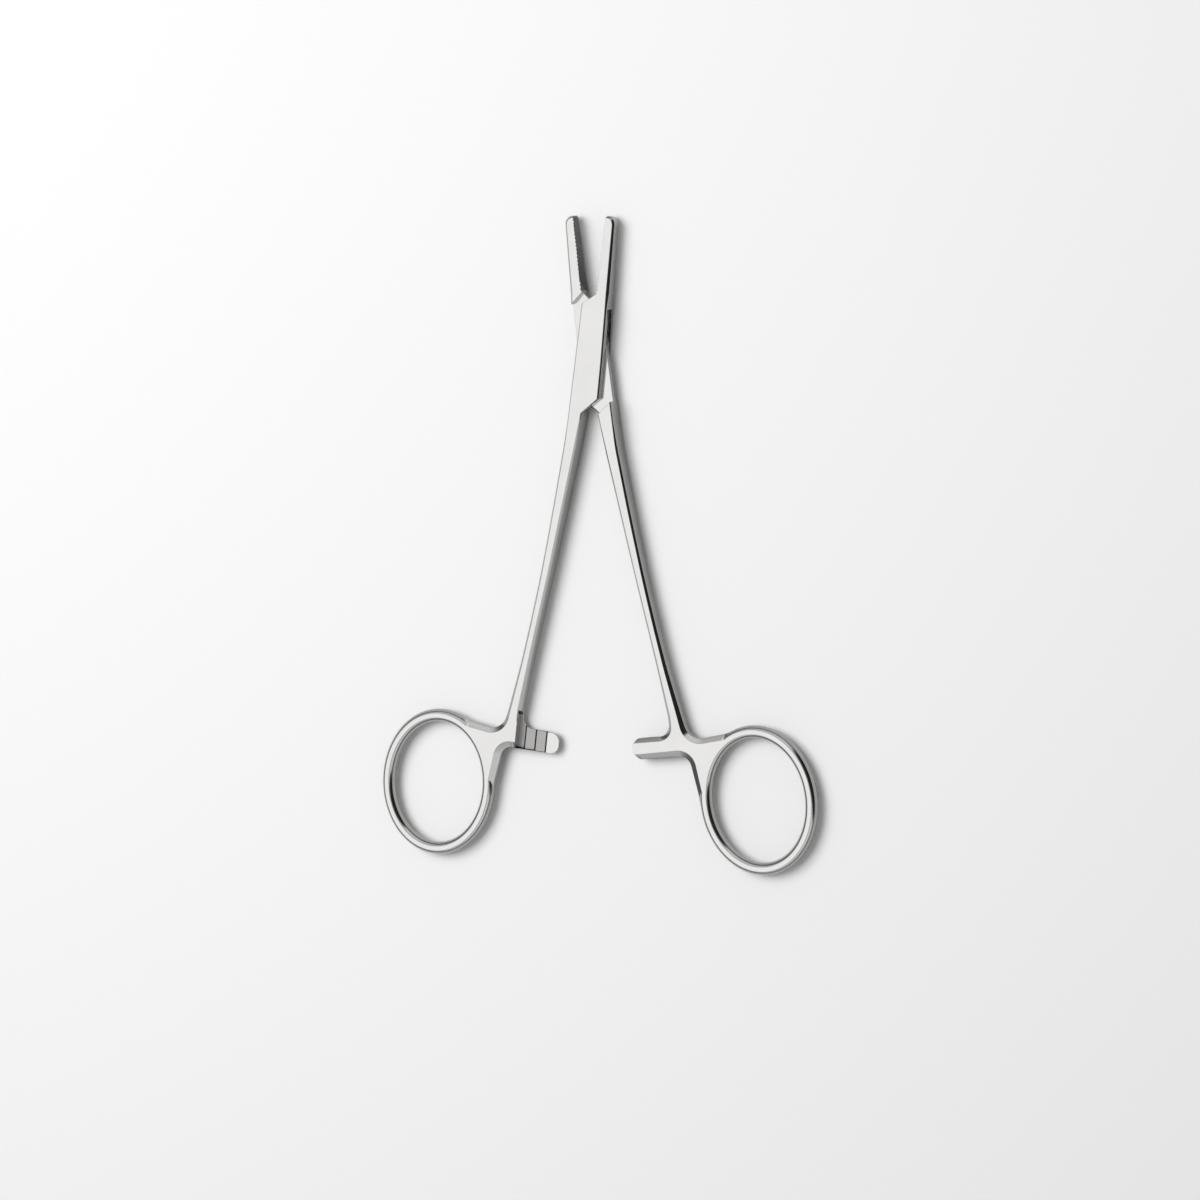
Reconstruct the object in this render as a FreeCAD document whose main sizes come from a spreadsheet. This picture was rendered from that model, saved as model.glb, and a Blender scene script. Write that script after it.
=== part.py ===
import FreeCAD, Part
import math
import os
import re

import Sketcher
from FreeCAD import Placement, Rotation, Vector

# A surgical needle holder with a box lock, drawn with its jaws apart as it lies on a table.
# X points right, Y from the finger rings towards the jaws, Z up. The origin is on the pivot axis,
# level with the underside of the box.
#
# Both halves are drawn alike, in the closed position and about their own middle plane: the pivot is
# at the origin, the jaw stands on the right of the centre line, and the shank, the finger ring and
# the ratchet arm hang below it on the left. The teeth of the ratchet face +Z. The through half is
# then turned over about the long axis, and both are swung apart by half of the opening each.

doc = FreeCAD.newDocument("needle_holder")

# Driving sizes, in millimetres and degrees. A place that lies left of the centre line or below the
# pivot is given as a positive distance, and the outlines carry the sign.
SIZES = [
    ("opening", 13.84, "angle between the halves as drawn"),
    ("box_thick", 4.4, "thickness of the box, face to face"),
    ("slot_gap", 1.4, "height of the slot through the box"),
    ("tenon_play", 0.05, "running clearance on each face of the tenon"),
    ("slot_play", 0.3, "clearance between the tenon's ends and the slot's ends"),
    ("shoulder_play", 0.25, "clearance between the upper shoulder and the cheeks, jaws closed"),
    ("pin_radius", 1.2, "shank of the pivot pin"),
    ("pin_head_radius", 1.55, "countersunk ends of the pivot pin"),
    ("pin_head_depth", 0.35, "depth of the countersinks"),
    ("pin_play", 0.05, "radial running clearance of the pin in the tenon"),
    ("box_top", 10.7, "end of the box above the pivot"),
    ("box_foot", 13.2, "end of the box below the pivot"),
    ("box_right_top", 2.75, "right-hand edge of the box at its upper end"),
    ("box_right_mid", 3.0, "right-hand edge of the box beside the pivot"),
    ("box_right_low", 3.05, "right-hand edge of the box at its lower corner"),
    ("box_left_top", 3.0, "left-hand edge of the box at its upper end"),
    ("box_left_mid", 3.2, "left-hand edge of the box beside the pivot"),
    ("box_left_low", 3.5, "left-hand edge of the box at its foot"),
    ("tenon_left_mid", 3.6, "left-hand edge of the through half beside the pivot"),
    ("tenon_left_low", 3.75, "left-hand edge of the through half at its foot"),
    ("box_right_bevel", 0.35, "bevel along the right-hand edges of the box"),
    ("box_left_bevel", 0.25, "bevel along the left-hand edges of the box"),
    ("cheek_top", 11.2, "left end of the cheeks' upper edge, above the pivot"),
    ("tenon_top", 10.0, "left end of the tenon's upper edge, above the pivot"),
    ("crotch", 13.7, "foot of the biting face, above the pivot"),
    ("cheek_foot", 8.0, "right end of the cheeks' lower edge, below the pivot"),
    ("lower_crotch", 11.5, "where the cheeks' lower edge meets the shank, below the pivot"),
    ("lower_crotch_inner", 0.45, "where the cheeks' lower edge meets the shank, left of the centre line"),
    ("low_shoulder_inner", 11.75, "inner end of the lower shoulder, below the pivot"),
    ("low_shoulder_outer", 9.2, "outer end of the lower shoulder, below the pivot"),
    ("jaw_gap", 0.04, "biting face to centre line, jaws closed"),
    ("jaw_root", 14.0, "lower end of the jaw, above the pivot"),
    ("jaw_mid", 22.0, "middle of the jaw, above the pivot"),
    ("jaw_tip", 30.0, "end of the jaw, above the pivot"),
    ("jaw_root_width", 2.72, "outer side of the jaw at its root"),
    ("jaw_mid_width", 2.42, "outer side of the jaw at its middle"),
    ("jaw_tip_width", 2.16, "outer side of the jaw at its tip"),
    ("jaw_root_half", 1.85, "half thickness of the jaw at its root"),
    ("jaw_mid_half", 1.64, "half thickness of the jaw at its middle"),
    ("jaw_tip_half", 1.4, "half thickness of the jaw at its tip"),
    ("jaw_root_bevel", 0.58, "bevel of the jaw's outer edges at the root"),
    ("jaw_bevel", 0.44, "bevel of the jaw's outer edges from the middle to the tip"),
    ("tip_outer_radius", 1.75, "rounding of the tip towards the outside"),
    ("tip_inner_radius", 0.5, "rounding of the tip towards the biting face"),
    ("tip_face_radius", 0.8, "rounding of the tip towards the faces"),
    ("groove_pitch", 0.8, "spacing of the cross-cut grooves along the jaw"),
    ("groove_width", 0.46, "width of a groove at the biting face"),
    ("groove_depth", 0.22, "depth of a groove"),
    ("groove_angle", 45.0, "slant of the grooves across the jaw"),
    ("groove_count", 19.0, "grooves in each direction"),
    ("groove_start", 14.9, "middle of the first groove, above the pivot"),
    ("shank_root_inner", 0.58, "inner edge of the shank at the foot of the box"),
    ("shank_top", 20.0, "first station of the shank, below the pivot"),
    ("shank_top_outer", 4.0, "outer edge there"),
    ("shank_top_inner", 1.15, "inner edge there"),
    ("shank_top_half", 2.08, "half thickness there"),
    ("shank_top_bevel", 0.42, "bevel there"),
    ("shank_mid", 45.0, "second station of the shank, below the pivot"),
    ("shank_mid_outer", 6.22, "outer edge there"),
    ("shank_mid_inner", 4.02, "inner edge there"),
    ("shank_mid_half", 1.75, "half thickness there"),
    ("shank_mid_bevel", 0.48, "bevel there"),
    ("shank_low", 64.0, "third station of the shank, below the pivot"),
    ("shank_low_outer", 8.65, "outer edge there"),
    ("shank_low_inner", 6.4, "inner edge there"),
    ("shank_low_half", 1.58, "half thickness there"),
    ("shank_low_bevel", 0.6, "bevel there"),
    ("neck", 76.0, "where the shank meets the web, below the pivot"),
    ("neck_outer", 10.75, "outer edge of the neck"),
    ("neck_inner", 7.68, "inner edge of the neck"),
    ("web_half", 1.44, "half thickness of the web between shank, arm and ring"),
    ("web_bevel", 0.78, "bevel along the web's edges"),
    ("crook_outer", 11.9, "outer corner between neck and ring, left of the centre line"),
    ("crook_low", 81.4, "outer corner between neck and ring, below the pivot"),
    ("crook_radius", 3.5, "rounding of that corner"),
    ("web_top_outer", 22.0, "where the web runs into the top of the ring, left of the centre line"),
    ("web_top_low", 80.3, "where the web runs into the top of the ring, below the pivot"),
    ("web_side_outer", 13.4, "where the web runs into the side of the ring, left of the centre line"),
    ("web_side_low", 98.5, "where the web runs into the side of the ring, below the pivot"),
    ("web_inner", 11.3, "inner edge of the web under the arm"),
    ("web_radius", 2.5, "rounding under the arm"),
    ("arm_top", 80.0, "upper edge of the ratchet arm, below the pivot"),
    ("arm_low", 84.5, "lower edge of the ratchet arm, below the pivot"),
    ("arm_root", 5.1, "where the arm leaves the web, left of the centre line"),
    ("arm_mid", 3.6, "where the bevels of its plain face reach their width, left of the centre line"),
    ("arm_root_radius", 2.4, "rounding between neck and arm"),
    ("arm_tip", 1.1, "end of the arm, right of the centre line"),
    ("arm_tip_radius", 1.9, "rounding of the arm's end"),
    ("arm_top_bevel", 1.07, "bevel of the arm's plain face along its upper edge"),
    ("arm_low_bevel", 1.55, "bevel of the arm's plain face along its lower edge"),
    ("arm_bevel_depth", 0.8, "depth of both of those bevels"),
    ("ring_outer", 25.7, "middle of the finger ring, left of the centre line"),
    ("ring_low", 94.9, "middle of the finger ring, below the pivot"),
    ("ring_across", 11.8, "half the ring's width, to the middle of its wire"),
    ("ring_along", 14.4, "half the ring's length, to the middle of its wire"),
    ("wire_half_width", 1.32, "half the width of the ring's wire"),
    ("wire_half_thick", 1.5, "half the thickness of the ring's wire"),
    ("recess_outer", 8.3, "left end of the ratchet's recess"),
    ("recess_top", 76.9, "upper end of the ratchet's recess, below the pivot"),
    ("tooth_first", 6.55, "crest of the ratchet tooth nearest to the ring, left of the centre line"),
    ("tooth_pitch", 2.45, "spacing of the ratchet teeth"),
    ("tooth_count", 3.0, "ratchet teeth on each arm"),
    ("tooth_depth", 0.47, "height of a ratchet tooth"),
    ("ratchet_gap", 0.08, "tooth crests to the middle plane"),
]

sheet = doc.addObject("Spreadsheet::Sheet", "sizes")
for row, (name, number, meaning) in enumerate(SIZES, start=1):
    sheet.set("A%d" % row, str(number))
    sheet.setAlias("A%d" % row, name)
    sheet.set("B%d" % row, meaning)
doc.recompute()
SIZE_NAMES = {name for name, number, meaning in SIZES}


def value(name):
    """The number in a size's cell, with a minus sign in front of the name if there is one."""
    return -float(sheet.get(name[1:])) if name.startswith("-") else float(sheet.get(name))


def formula(text):
    """An expression in which each size's name stands for its cell."""
    return re.sub(r"[a-z_]+", lambda m: "sizes." + m.group() if m.group() in SIZE_NAMES else m.group(), text)


def new_sketch(body, name, role, offset="0"):
    """A sketch on one of the body's own planes, moved along the plane's normal."""
    sketch = body.newObject("Sketcher::SketchObject", name)
    plane = next(feature for feature in body.Origin.OriginFeatures if feature.Role == role)
    sketch.AttachmentSupport = [(plane, "")]
    sketch.MapMode = "FlatFace"
    sketch.setExpression(".AttachmentOffset.Base.z", formula(offset))
    return sketch


def pin_point(sketch, element, end, place, start=(1.0, 1.0)):
    """Holds an end of a sketch element at the two formulas of its place, from a first guess."""
    for kind, text, guess in zip(("DistanceX", "DistanceY"), place, start):
        index = sketch.addConstraint(Sketcher.Constraint(kind, element, end, guess))
        sketch.setExpression("Constraints[%d]" % index, formula(text))


def outline(sketch, corners):
    """A closed outline of straight runs through corners, each given by its two formulas."""
    first = sketch.GeometryCount
    count = len(corners)
    start = [Vector(math.cos(2 * math.pi * i / count), math.sin(2 * math.pi * i / count), 0) for i in range(count)]
    for i in range(count):
        sketch.addGeometry(Part.LineSegment(start[i], start[(i + 1) % count]))
    for i in range(count):
        sketch.addConstraint(Sketcher.Constraint("Coincident", first + i, 2, first + (i + 1) % count, 1))
        pin_point(sketch, first + i, 1, corners[i])


def ellipse(sketch, middle, along_x, along_y):
    """An ellipse about a place, its half widths given by formulas; along_y is the longer one."""
    first = sketch.GeometryCount
    sketch.addGeometry(Part.Ellipse(Vector(0, 2, 0), Vector(1, 0, 0), Vector(0, 0, 0)))
    sketch.exposeInternalGeometry(first)
    pin_point(sketch, first, 3, middle)
    sketch.addConstraint(Sketcher.Constraint("Vertical", first + 1))
    for line, text in ((first + 1, along_y), (first + 2, along_x)):
        index = sketch.addConstraint(Sketcher.Constraint("Distance", line, 1.0))
        sketch.setExpression("Constraints[%d]" % index, formula("2 * (" + text + ")"))


def many_sided(sketch, middle, half_across, half_up):
    """A closed outline of twelve flats about a place, half_across and half_up to its flats."""
    corners = []
    for i in range(12):
        turn = (i + 0.5) * math.pi / 6
        across = math.cos(turn) / math.cos(math.pi / 12)
        up = math.sin(turn) / math.cos(math.pi / 12)
        corners.append((
            "%s + %.6f * %s" % (middle[0], across, half_across),
            "%s + %.6f * %s" % (middle[1], up, half_up)))
    outline(sketch, corners)


def finish(feature, less=None):
    """Recomputes and stops with a plain message if the feature failed or cut nothing."""
    doc.recompute()
    if "Invalid" in feature.State or "Error" in feature.State or feature.Shape.isNull():
        raise RuntimeError(feature.Name + " failed")
    if less is not None and not feature.Shape.Volume < less:
        raise RuntimeError(feature.Name + " cuts nothing")
    return feature


def pad(body, name, sketch, length):
    feature = body.newObject("PartDesign::Pad", name)
    feature.Profile = sketch
    feature.SideType = "Symmetric"
    feature.setExpression("Length", formula(length))
    return finish(feature)


def loft(body, name, sections, ruled):
    feature = body.newObject("PartDesign::AdditiveLoft", name)
    feature.Profile = sections[0]
    feature.Sections = sections[1:]
    feature.Ruled = ruled
    return finish(feature)


def pocket(body, name, sketch, length=None, side="Symmetric", flip=False):
    """A cut from a sketch: through everything, or of a length, both ways or one way."""
    volume = body.Shape.Volume
    feature = body.newObject("PartDesign::Pocket", name)
    feature.Profile = sketch
    feature.SideType = side
    feature.Reversed = flip
    if length is None:
        feature.Type = "ThroughAll"
    else:
        feature.setExpression("Length", formula(length))
    return finish(feature, less=volume)


def edges_where(feature, test):
    return ["Edge%d" % (i + 1) for i, edge in enumerate(feature.Shape.Edges) if test(edge)]


def middle_of(edge):
    return edge.valueAt((edge.FirstParameter + edge.LastParameter) / 2)


def bevel(body, name, size, test):
    base = body.Tip
    feature = body.newObject("PartDesign::Chamfer", name)
    feature.Base = (base, edges_where(base, test))
    feature.setExpression("Size", formula(size))
    return finish(feature)


def round_upright(body, name, radius, x, y):
    """Rounds the upright edge of the body that stands at (x, y)."""
    def stands_there(edge):
        ends = [vertex.Point for vertex in edge.Vertexes]
        return len(ends) == 2 and all(math.hypot(p.x - value(x), p.y - value(y)) < 1e-4 for p in ends)
    base = body.Tip
    feature = body.newObject("PartDesign::Fillet", name)
    feature.Base = (base, edges_where(base, stands_there))
    feature.setExpression("Radius", formula(radius))
    return finish(feature)


def round_corner(body, name, role, corner, across, up, radius):
    """Cuts an outer corner of the profile seen on a plane down to an arc.

    across and up are 1 or -1 and say which way the corner points.
    """
    sketch = new_sketch(body, name + "_outline", role)
    size = value(radius)

    def near(along, above):
        """A place counted from the corner, in radii towards its outside: its number and its formulas."""
        number = Vector(value(corner[0]) + along * across * size, value(corner[1]) + above * up * size, 0)
        texts = ["%s + %d * %s" % (name, step, radius)
                 for name, step in zip(corner, (along * across, above * up))]
        return number, texts
    stops = [near(0, -1), near(1, -1), near(1, 1), near(-1, 1), near(-1, 0)]
    side_angle = 0.0 if across > 0 else math.pi
    top_angle = up * math.pi / 2
    counterclockwise = across * up > 0
    first, last = (side_angle, top_angle) if counterclockwise else (top_angle, side_angle)
    circle = Part.Circle(near(-1, -1)[0], Vector(0, 0, 1), size)
    sketch.addGeometry(Part.ArcOfCircle(circle, first, last))
    for i in range(4):
        sketch.addGeometry(Part.LineSegment(stops[i][0], stops[i + 1][0]))
    side_end, top_end = (1, 2) if counterclockwise else (2, 1)
    sketch.addConstraint(Sketcher.Constraint("Coincident", 1, 1, 0, side_end))
    sketch.addConstraint(Sketcher.Constraint("Coincident", 4, 2, 0, top_end))
    for i in range(1, 4):
        sketch.addConstraint(Sketcher.Constraint("Coincident", i, 2, i + 1, 1))
    for line, end, stop in ((1, 1, 0), (1, 2, 1), (2, 2, 2), (3, 2, 3), (4, 2, 4)):
        pin_point(sketch, line, end, stops[stop][1], stops[stop][0])
    index = sketch.addConstraint(Sketcher.Constraint("Radius", 0, size))
    sketch.setExpression("Constraints[%d]" % index, formula(radius))
    return pocket(body, name, sketch)


def eight_corners(left, right, half, left_bevel, right_bevel):
    """A bar's section with bevelled edges: left and right across, half up and down."""
    return [
        (left + " + " + left_bevel, "-" + half),
        (right + " - " + right_bevel, "-" + half),
        (right, "-" + half + " + " + right_bevel),
        (right, half + " - " + right_bevel),
        (right + " - " + right_bevel, half),
        (left + " + " + left_bevel, half),
        (left, half + " - " + left_bevel),
        (left, "-" + half + " + " + left_bevel),
    ]


def section(body, name, height, corners):
    """A cross-section of the half at a height above the pivot."""
    sketch = new_sketch(body, name, "XZ_Plane", "-(" + height + ")")
    outline(sketch, corners)
    return sketch


def cross_cut_jaw(name):
    """The jaw of one half: tapered bar, rounded tip, and grooves cut both ways over the biting face."""
    body = doc.addObject("PartDesign::Body", name)
    stations = [
        ("jaw_root", "jaw_root_width", "jaw_root_half", "jaw_root_bevel"),
        ("jaw_mid", "jaw_mid_width", "jaw_mid_half", "jaw_bevel"),
        ("jaw_tip", "jaw_tip_width", "jaw_tip_half", "jaw_bevel"),
    ]
    sections = []
    for height, width, half, bevel_size in stations:
        corners = [
            ("jaw_gap", "-" + half),
            (width + " - " + bevel_size, "-" + half),
            (width, "-" + half + " + " + bevel_size),
            (width, half + " - " + bevel_size),
            (width + " - " + bevel_size, half),
            ("jaw_gap", half),
        ]
        sections.append(section(body, name + "_at_" + height, height, corners))
    loft(body, name + "_bar", sections, True)
    round_corner(body, name + "_tip_outside", "XY_Plane", ("jaw_tip_width", "jaw_tip"), 1, 1, "tip_outer_radius")
    round_corner(body, name + "_tip_inside", "XY_Plane", ("jaw_gap", "jaw_tip"), -1, 1, "tip_inner_radius")
    round_corner(body, name + "_tip_front", "YZ_Plane", ("jaw_tip", "jaw_tip_half"), 1, 1, "tip_face_radius")
    round_corner(body, name + "_tip_back", "YZ_Plane", ("jaw_tip", "-jaw_tip_half"), 1, -1, "tip_face_radius")
    grooves = []
    for side, slant in (("up", 1), ("down", -1)):
        sketch = new_sketch(body, name + "_groove_" + side + "_outline", "XY_Plane")
        sketch.AttachmentOffset = Placement(Vector(0, 0, 0), Rotation(Vector(slant, 0, 0), 45))
        sketch.setExpression(".AttachmentOffset.Base.y", formula("groove_start"))
        sketch.setExpression(".AttachmentOffset.Rotation.Angle", formula("groove_angle"))
        outline(sketch, [
            ("jaw_gap - groove_depth", "-groove_width / 2"),
            ("jaw_gap", "-groove_width / 2"),
            ("jaw_gap + groove_depth", "0"),
            ("jaw_gap", "groove_width / 2"),
            ("jaw_gap - groove_depth", "groove_width / 2"),
        ])
        grooves.append(pocket(body, name + "_groove_" + side, sketch, "4 * jaw_root_half"))
    volume = body.Shape.Volume
    pattern = body.newObject("PartDesign::LinearPattern", name + "_grooves")
    pattern.Originals = grooves
    along = next(feature for feature in body.Origin.OriginFeatures if feature.Role == "Y_Axis")
    pattern.Direction = (along, [""])
    pattern.setExpression("Length", formula("(groove_count - 1) * groove_pitch"))
    pattern.setExpression("Occurrences", formula("groove_count"))
    body.Tip = pattern
    finish(pattern, less=volume)
    return body


def ratchet_outline():
    """The profile cut over the arm: the recess, then one ramp after another with a steep back."""
    crest, foot = "-ratchet_gap", "-ratchet_gap - tooth_depth"
    corners = [("-recess_outer", "box_thick"), ("-recess_outer", foot)]
    for i in range(int(value("tooth_count"))):
        x = "-tooth_first + %d * tooth_pitch" % i
        corners += [(x, foot), (x, crest)]
    return corners + [("arm_tip + web_half", foot), ("arm_tip + web_half", "box_thick")]


def ring_and_arm(name):
    """The web below the neck, with the finger ring and the ratchet arm that grow out of it."""
    body = doc.addObject("PartDesign::Body", name)
    plate = new_sketch(body, name + "_web_outline", "XY_Plane")
    outline(plate, [
        ("-neck_outer", "-neck"),
        ("-crook_outer", "-crook_low"),
        ("-web_top_outer", "-web_top_low"),
        ("-ring_outer", "-ring_low"),
        ("-web_side_outer", "-web_side_low"),
        ("-web_inner", "-arm_low"),
        ("-arm_root", "-arm_low"),
        ("-arm_root", "-arm_top"),
        ("-neck_inner", "-arm_top"),
        ("-neck_inner", "-neck"),
    ])
    pad(body, name + "_web", plate, "2 * web_half")
    round_upright(body, name + "_crook", "crook_radius", "-crook_outer", "-crook_low")
    round_upright(body, name + "_arm_crook", "arm_root_radius", "-neck_inner", "-arm_top")
    round_upright(body, name + "_under_arm", "web_radius", "-web_inner", "-arm_low")

    def is_open_edge(edge):
        point = middle_of(edge)
        on_face = abs(abs(point.z) - value("web_half")) < 1e-6
        at_joint = abs(point.y - value("-neck")) < 1e-6 or abs(point.x - value("-arm_root")) < 1e-6
        across, along = point.x - value("-ring_outer"), point.y - value("-ring_low")
        in_ring = math.hypot(across / value("ring_across"), along / value("ring_along")) < 1
        return on_face and not at_joint and not in_ring
    bevel(body, name + "_web_bevel", "web_bevel", is_open_edge)

    hole = new_sketch(body, name + "_ring_hole_outline", "XY_Plane")
    ellipse(hole, ("-ring_outer", "-ring_low"), "ring_across", "ring_along")
    pocket(body, name + "_ring_hole", hole)
    path = new_sketch(body, name + "_ring_path", "XY_Plane")
    ellipse(path, ("-ring_outer", "-ring_low"), "ring_across", "ring_along")
    wire = new_sketch(body, name + "_ring_wire", "YZ_Plane", "-ring_outer")
    many_sided(wire, ("ring_along - ring_low", "0"), "wire_half_width", "wire_half_thick")
    ring = body.newObject("PartDesign::AdditivePipe", name + "_ring")
    ring.Profile = wire
    ring.Spine = path
    finish(ring)

    root = new_sketch(body, name + "_arm_at_root", "YZ_Plane", "-arm_root")
    outline(root, eight_corners("-arm_low", "-arm_top", "web_half", "web_bevel", "web_bevel"))
    sections = [root]
    for station, place in (("mid", "-arm_mid"), ("tip", "arm_tip")):
        sketch = new_sketch(body, name + "_arm_at_" + station, "YZ_Plane", place)
        outline(sketch, [
            ("-arm_low + arm_low_bevel", "-web_half"),
            ("-arm_top - arm_top_bevel", "-web_half"),
            ("-arm_top", "-web_half + arm_bevel_depth"),
            ("-arm_top", "web_half - web_bevel"),
            ("-arm_top - web_bevel", "web_half"),
            ("-arm_low + web_bevel", "web_half"),
            ("-arm_low", "web_half - web_bevel"),
            ("-arm_low", "-web_half + arm_bevel_depth"),
        ])
        sections.append(sketch)
    loft(body, name + "_arm", sections, True)
    round_corner(body, name + "_arm_upper_corner", "XY_Plane", ("arm_tip", "-arm_top"), 1, 1, "arm_tip_radius")
    round_corner(body, name + "_arm_lower_corner", "XY_Plane", ("arm_tip", "-arm_low"), 1, -1, "arm_tip_radius")
    teeth = new_sketch(body, name + "_ratchet_outline", "XZ_Plane", "recess_top")
    outline(teeth, ratchet_outline())
    pocket(body, name + "_ratchet", teeth, "arm_low - recess_top + web_half", "One side", True)
    return body


def shank(name, outer_edge):
    """The slender bevelled bar from the neck up to the foot of the box."""
    body = doc.addObject("PartDesign::Body", name)
    stations = [
        ("neck", "-neck_outer", "-neck_inner", "web_half", "web_bevel"),
        ("shank_low", "-shank_low_outer", "-shank_low_inner", "shank_low_half", "shank_low_bevel"),
        ("shank_mid", "-shank_mid_outer", "-shank_mid_inner", "shank_mid_half", "shank_mid_bevel"),
        ("shank_top", "-shank_top_outer", "-shank_top_inner", "shank_top_half", "shank_top_bevel"),
        ("box_foot", outer_edge, "-shank_root_inner", "box_thick / 2", "box_left_bevel"),
    ]
    sections = []
    for height, outer, inner, half, edge in stations:
        corners = eight_corners(outer, inner, half, edge, edge)
        sections.append(section(body, name + "_at_" + height, "-" + height, corners))
    loft(body, name + "_bar", sections, False)
    return body


def box(name, left_mid, left_low, upper_edge):
    """The thick middle with its flat faces, and the root of the jaw cut back along a slant."""
    body = doc.addObject("PartDesign::Body", name)
    plan = new_sketch(body, name + "_outline", "XY_Plane")
    outline(plan, [
        (left_low, "-box_foot"),
        ("-shank_root_inner", "-box_foot"),
        ("-lower_crotch_inner", "-lower_crotch"),
        ("box_right_low", "-cheek_foot"),
        ("box_right_mid", "0"),
        ("box_right_top", "box_top"),
        ("-box_left_top", "box_top"),
        (left_mid, "0"),
    ])
    pad(body, name + "_bar", plan, "box_thick")

    def on_face(edge):
        point = middle_of(edge)
        slope = abs(edge.tangentAt(edge.FirstParameter).y)
        inside = -value("box_foot") < point.y < value("box_top")
        return abs(abs(point.z) - value("box_thick") / 2) < 1e-6 and inside and slope > 0.9
    bevel(body, name + "_right_bevel", "box_right_bevel", lambda edge: on_face(edge) and middle_of(edge).x > 0)
    bevel(body, name + "_left_bevel", "box_left_bevel",
          lambda edge: on_face(edge) and middle_of(edge).x < value("-box_left_mid") + value("box_left_bevel"))
    root = [
        section(body, name + "_root_at_box", "box_top", eight_corners(
            "-box_left_top", "box_right_top", "box_thick / 2", "box_left_bevel", "box_right_bevel")),
        section(body, name + "_root_at_jaw", "jaw_root", eight_corners(
            "-box_left_top", "jaw_root_width", "jaw_root_half", "box_left_bevel", "jaw_root_bevel")),
    ]
    loft(body, name + "_root", root, True)
    slant = "(crotch - " + upper_edge + ") / box_left_top"
    relief = new_sketch(body, name + "_relief_outline", "XY_Plane")
    outline(relief, [
        ("jaw_gap", "crotch"),
        ("jaw_gap", "2 * jaw_root"),
        ("-2 * box_left_top", "2 * jaw_root"),
        ("-2 * box_left_top", "crotch - 2 * box_left_top * " + slant),
    ])
    pocket(body, name + "_relief", relief)
    return body


def pin_outline(sketch):
    """Half the pin's profile, with a countersunk end flush with each cheek."""
    outline(sketch, [
        ("0", "-box_thick / 2"),
        ("pin_head_radius", "-box_thick / 2"),
        ("pin_radius", "pin_head_depth - box_thick / 2"),
        ("pin_radius", "box_thick / 2 - pin_head_depth"),
        ("pin_head_radius", "box_thick / 2"),
        ("0", "box_thick / 2"),
    ])


def slotted_box(name):
    """The box of the box half, with the slot right through it and the rivet's hole."""
    body = box(name, "-box_left_mid", "-box_left_low", "cheek_top")
    upper_slope = "(crotch - tenon_top) / box_left_top"
    lower_slope = "(lower_crotch - cheek_foot) / (box_right_low + lower_crotch_inner)"
    slot = new_sketch(body, name + "_slot_outline", "XY_Plane")
    outline(slot, [
        ("-2 * box_left_low", "-cheek_foot - slot_play + " + lower_slope + " * (2 * box_left_low - box_right_low)"),
        ("lower_crotch_inner", "-lower_crotch - slot_play"),
        ("2 * box_left_low", "-lower_crotch - slot_play"),
        ("2 * box_left_low", "crotch + slot_play - 2 * box_left_low * " + upper_slope),
        ("0", "crotch + slot_play"),
        ("-2 * box_left_low", "crotch + slot_play"),
    ])
    pocket(body, name + "_slot", slot, "slot_gap")
    profile = new_sketch(body, name + "_pin_hole_outline", "XZ_Plane")
    pin_outline(profile)
    volume = body.Shape.Volume
    hole = body.newObject("PartDesign::Groove", name + "_pin_hole")
    hole.Profile = profile
    hole.ReferenceAxis = (profile, ["V_Axis"])
    finish(hole, less=volume)
    return body


def tenon_box(name):
    """The box of the through half, milled from both faces down to the tenon between its shoulders."""
    body = box(name, "-tenon_left_mid", "-tenon_left_low", "tenon_top")
    upper_slope = "(crotch - cheek_top) / box_left_top"
    lower_slope = "(low_shoulder_inner - low_shoulder_outer) / (tenon_left_low - lower_crotch_inner)"
    for side, sign in (("front", 1), ("back", -1)):
        height = "%d * (slot_gap / 2 - tenon_play)" % sign
        waist = new_sketch(body, name + "_" + side + "_waist_outline", "XY_Plane", height)
        outline(waist, [
            ("-2 * tenon_left_low", "-low_shoulder_outer + tenon_left_low * " + lower_slope),
            ("-lower_crotch_inner", "-low_shoulder_inner"),
            ("2 * tenon_left_low", "-low_shoulder_inner"),
            ("2 * tenon_left_low", "crotch + shoulder_play - 2 * tenon_left_low * " + upper_slope),
            ("0", "crotch + shoulder_play"),
            ("-2 * tenon_left_low", "crotch + shoulder_play"),
        ])
        pocket(body, name + "_" + side + "_waist", waist, None, "One side", sign > 0)
    bore = new_sketch(body, name + "_bore_outline", "XY_Plane")
    bore.addGeometry(Part.Circle(Vector(0, 0, 0), Vector(0, 0, 1), 1))
    bore.addConstraint(Sketcher.Constraint("Coincident", 0, 3, -1, 1))
    bore.addConstraint(Sketcher.Constraint("Radius", 0, 1))
    bore.setExpression("Constraints[1]", formula("pin_radius + pin_play"))
    pocket(body, name + "_bore", bore)
    return body


def forging(label, bodies):
    """One half: its shank, box, jaw, ring and arm are one piece of steel."""
    half = doc.addObject("Part::MultiFuse", label)
    half.Shapes = bodies
    half.Label = label
    return finish(half)


def place(piece, turn, turned_over):
    """Swings a half about the pivot and lifts its middle plane to half the box's thickness."""
    over = Rotation(Vector(0, 1, 0), 180 if turned_over else 0)
    piece.Placement = Placement(Vector(0, 0, value("box_thick") / 2), Rotation(Vector(0, 0, 1), turn) * over)


# Both halves share one form of ring, arm and jaw. They differ in the box, and in how wide the shank
# starts below it.
grip = ring_and_arm("grip")
jaw = cross_cut_jaw("jaw")
box_half = forging("box_half", [
    grip, shank("box_half_shank", "-box_left_low"), slotted_box("box_half_box"), jaw])
through_half = forging("through_half", [
    grip, shank("through_half_shank", "-tenon_left_low"), tenon_box("through_half_box"), jaw])

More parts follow.
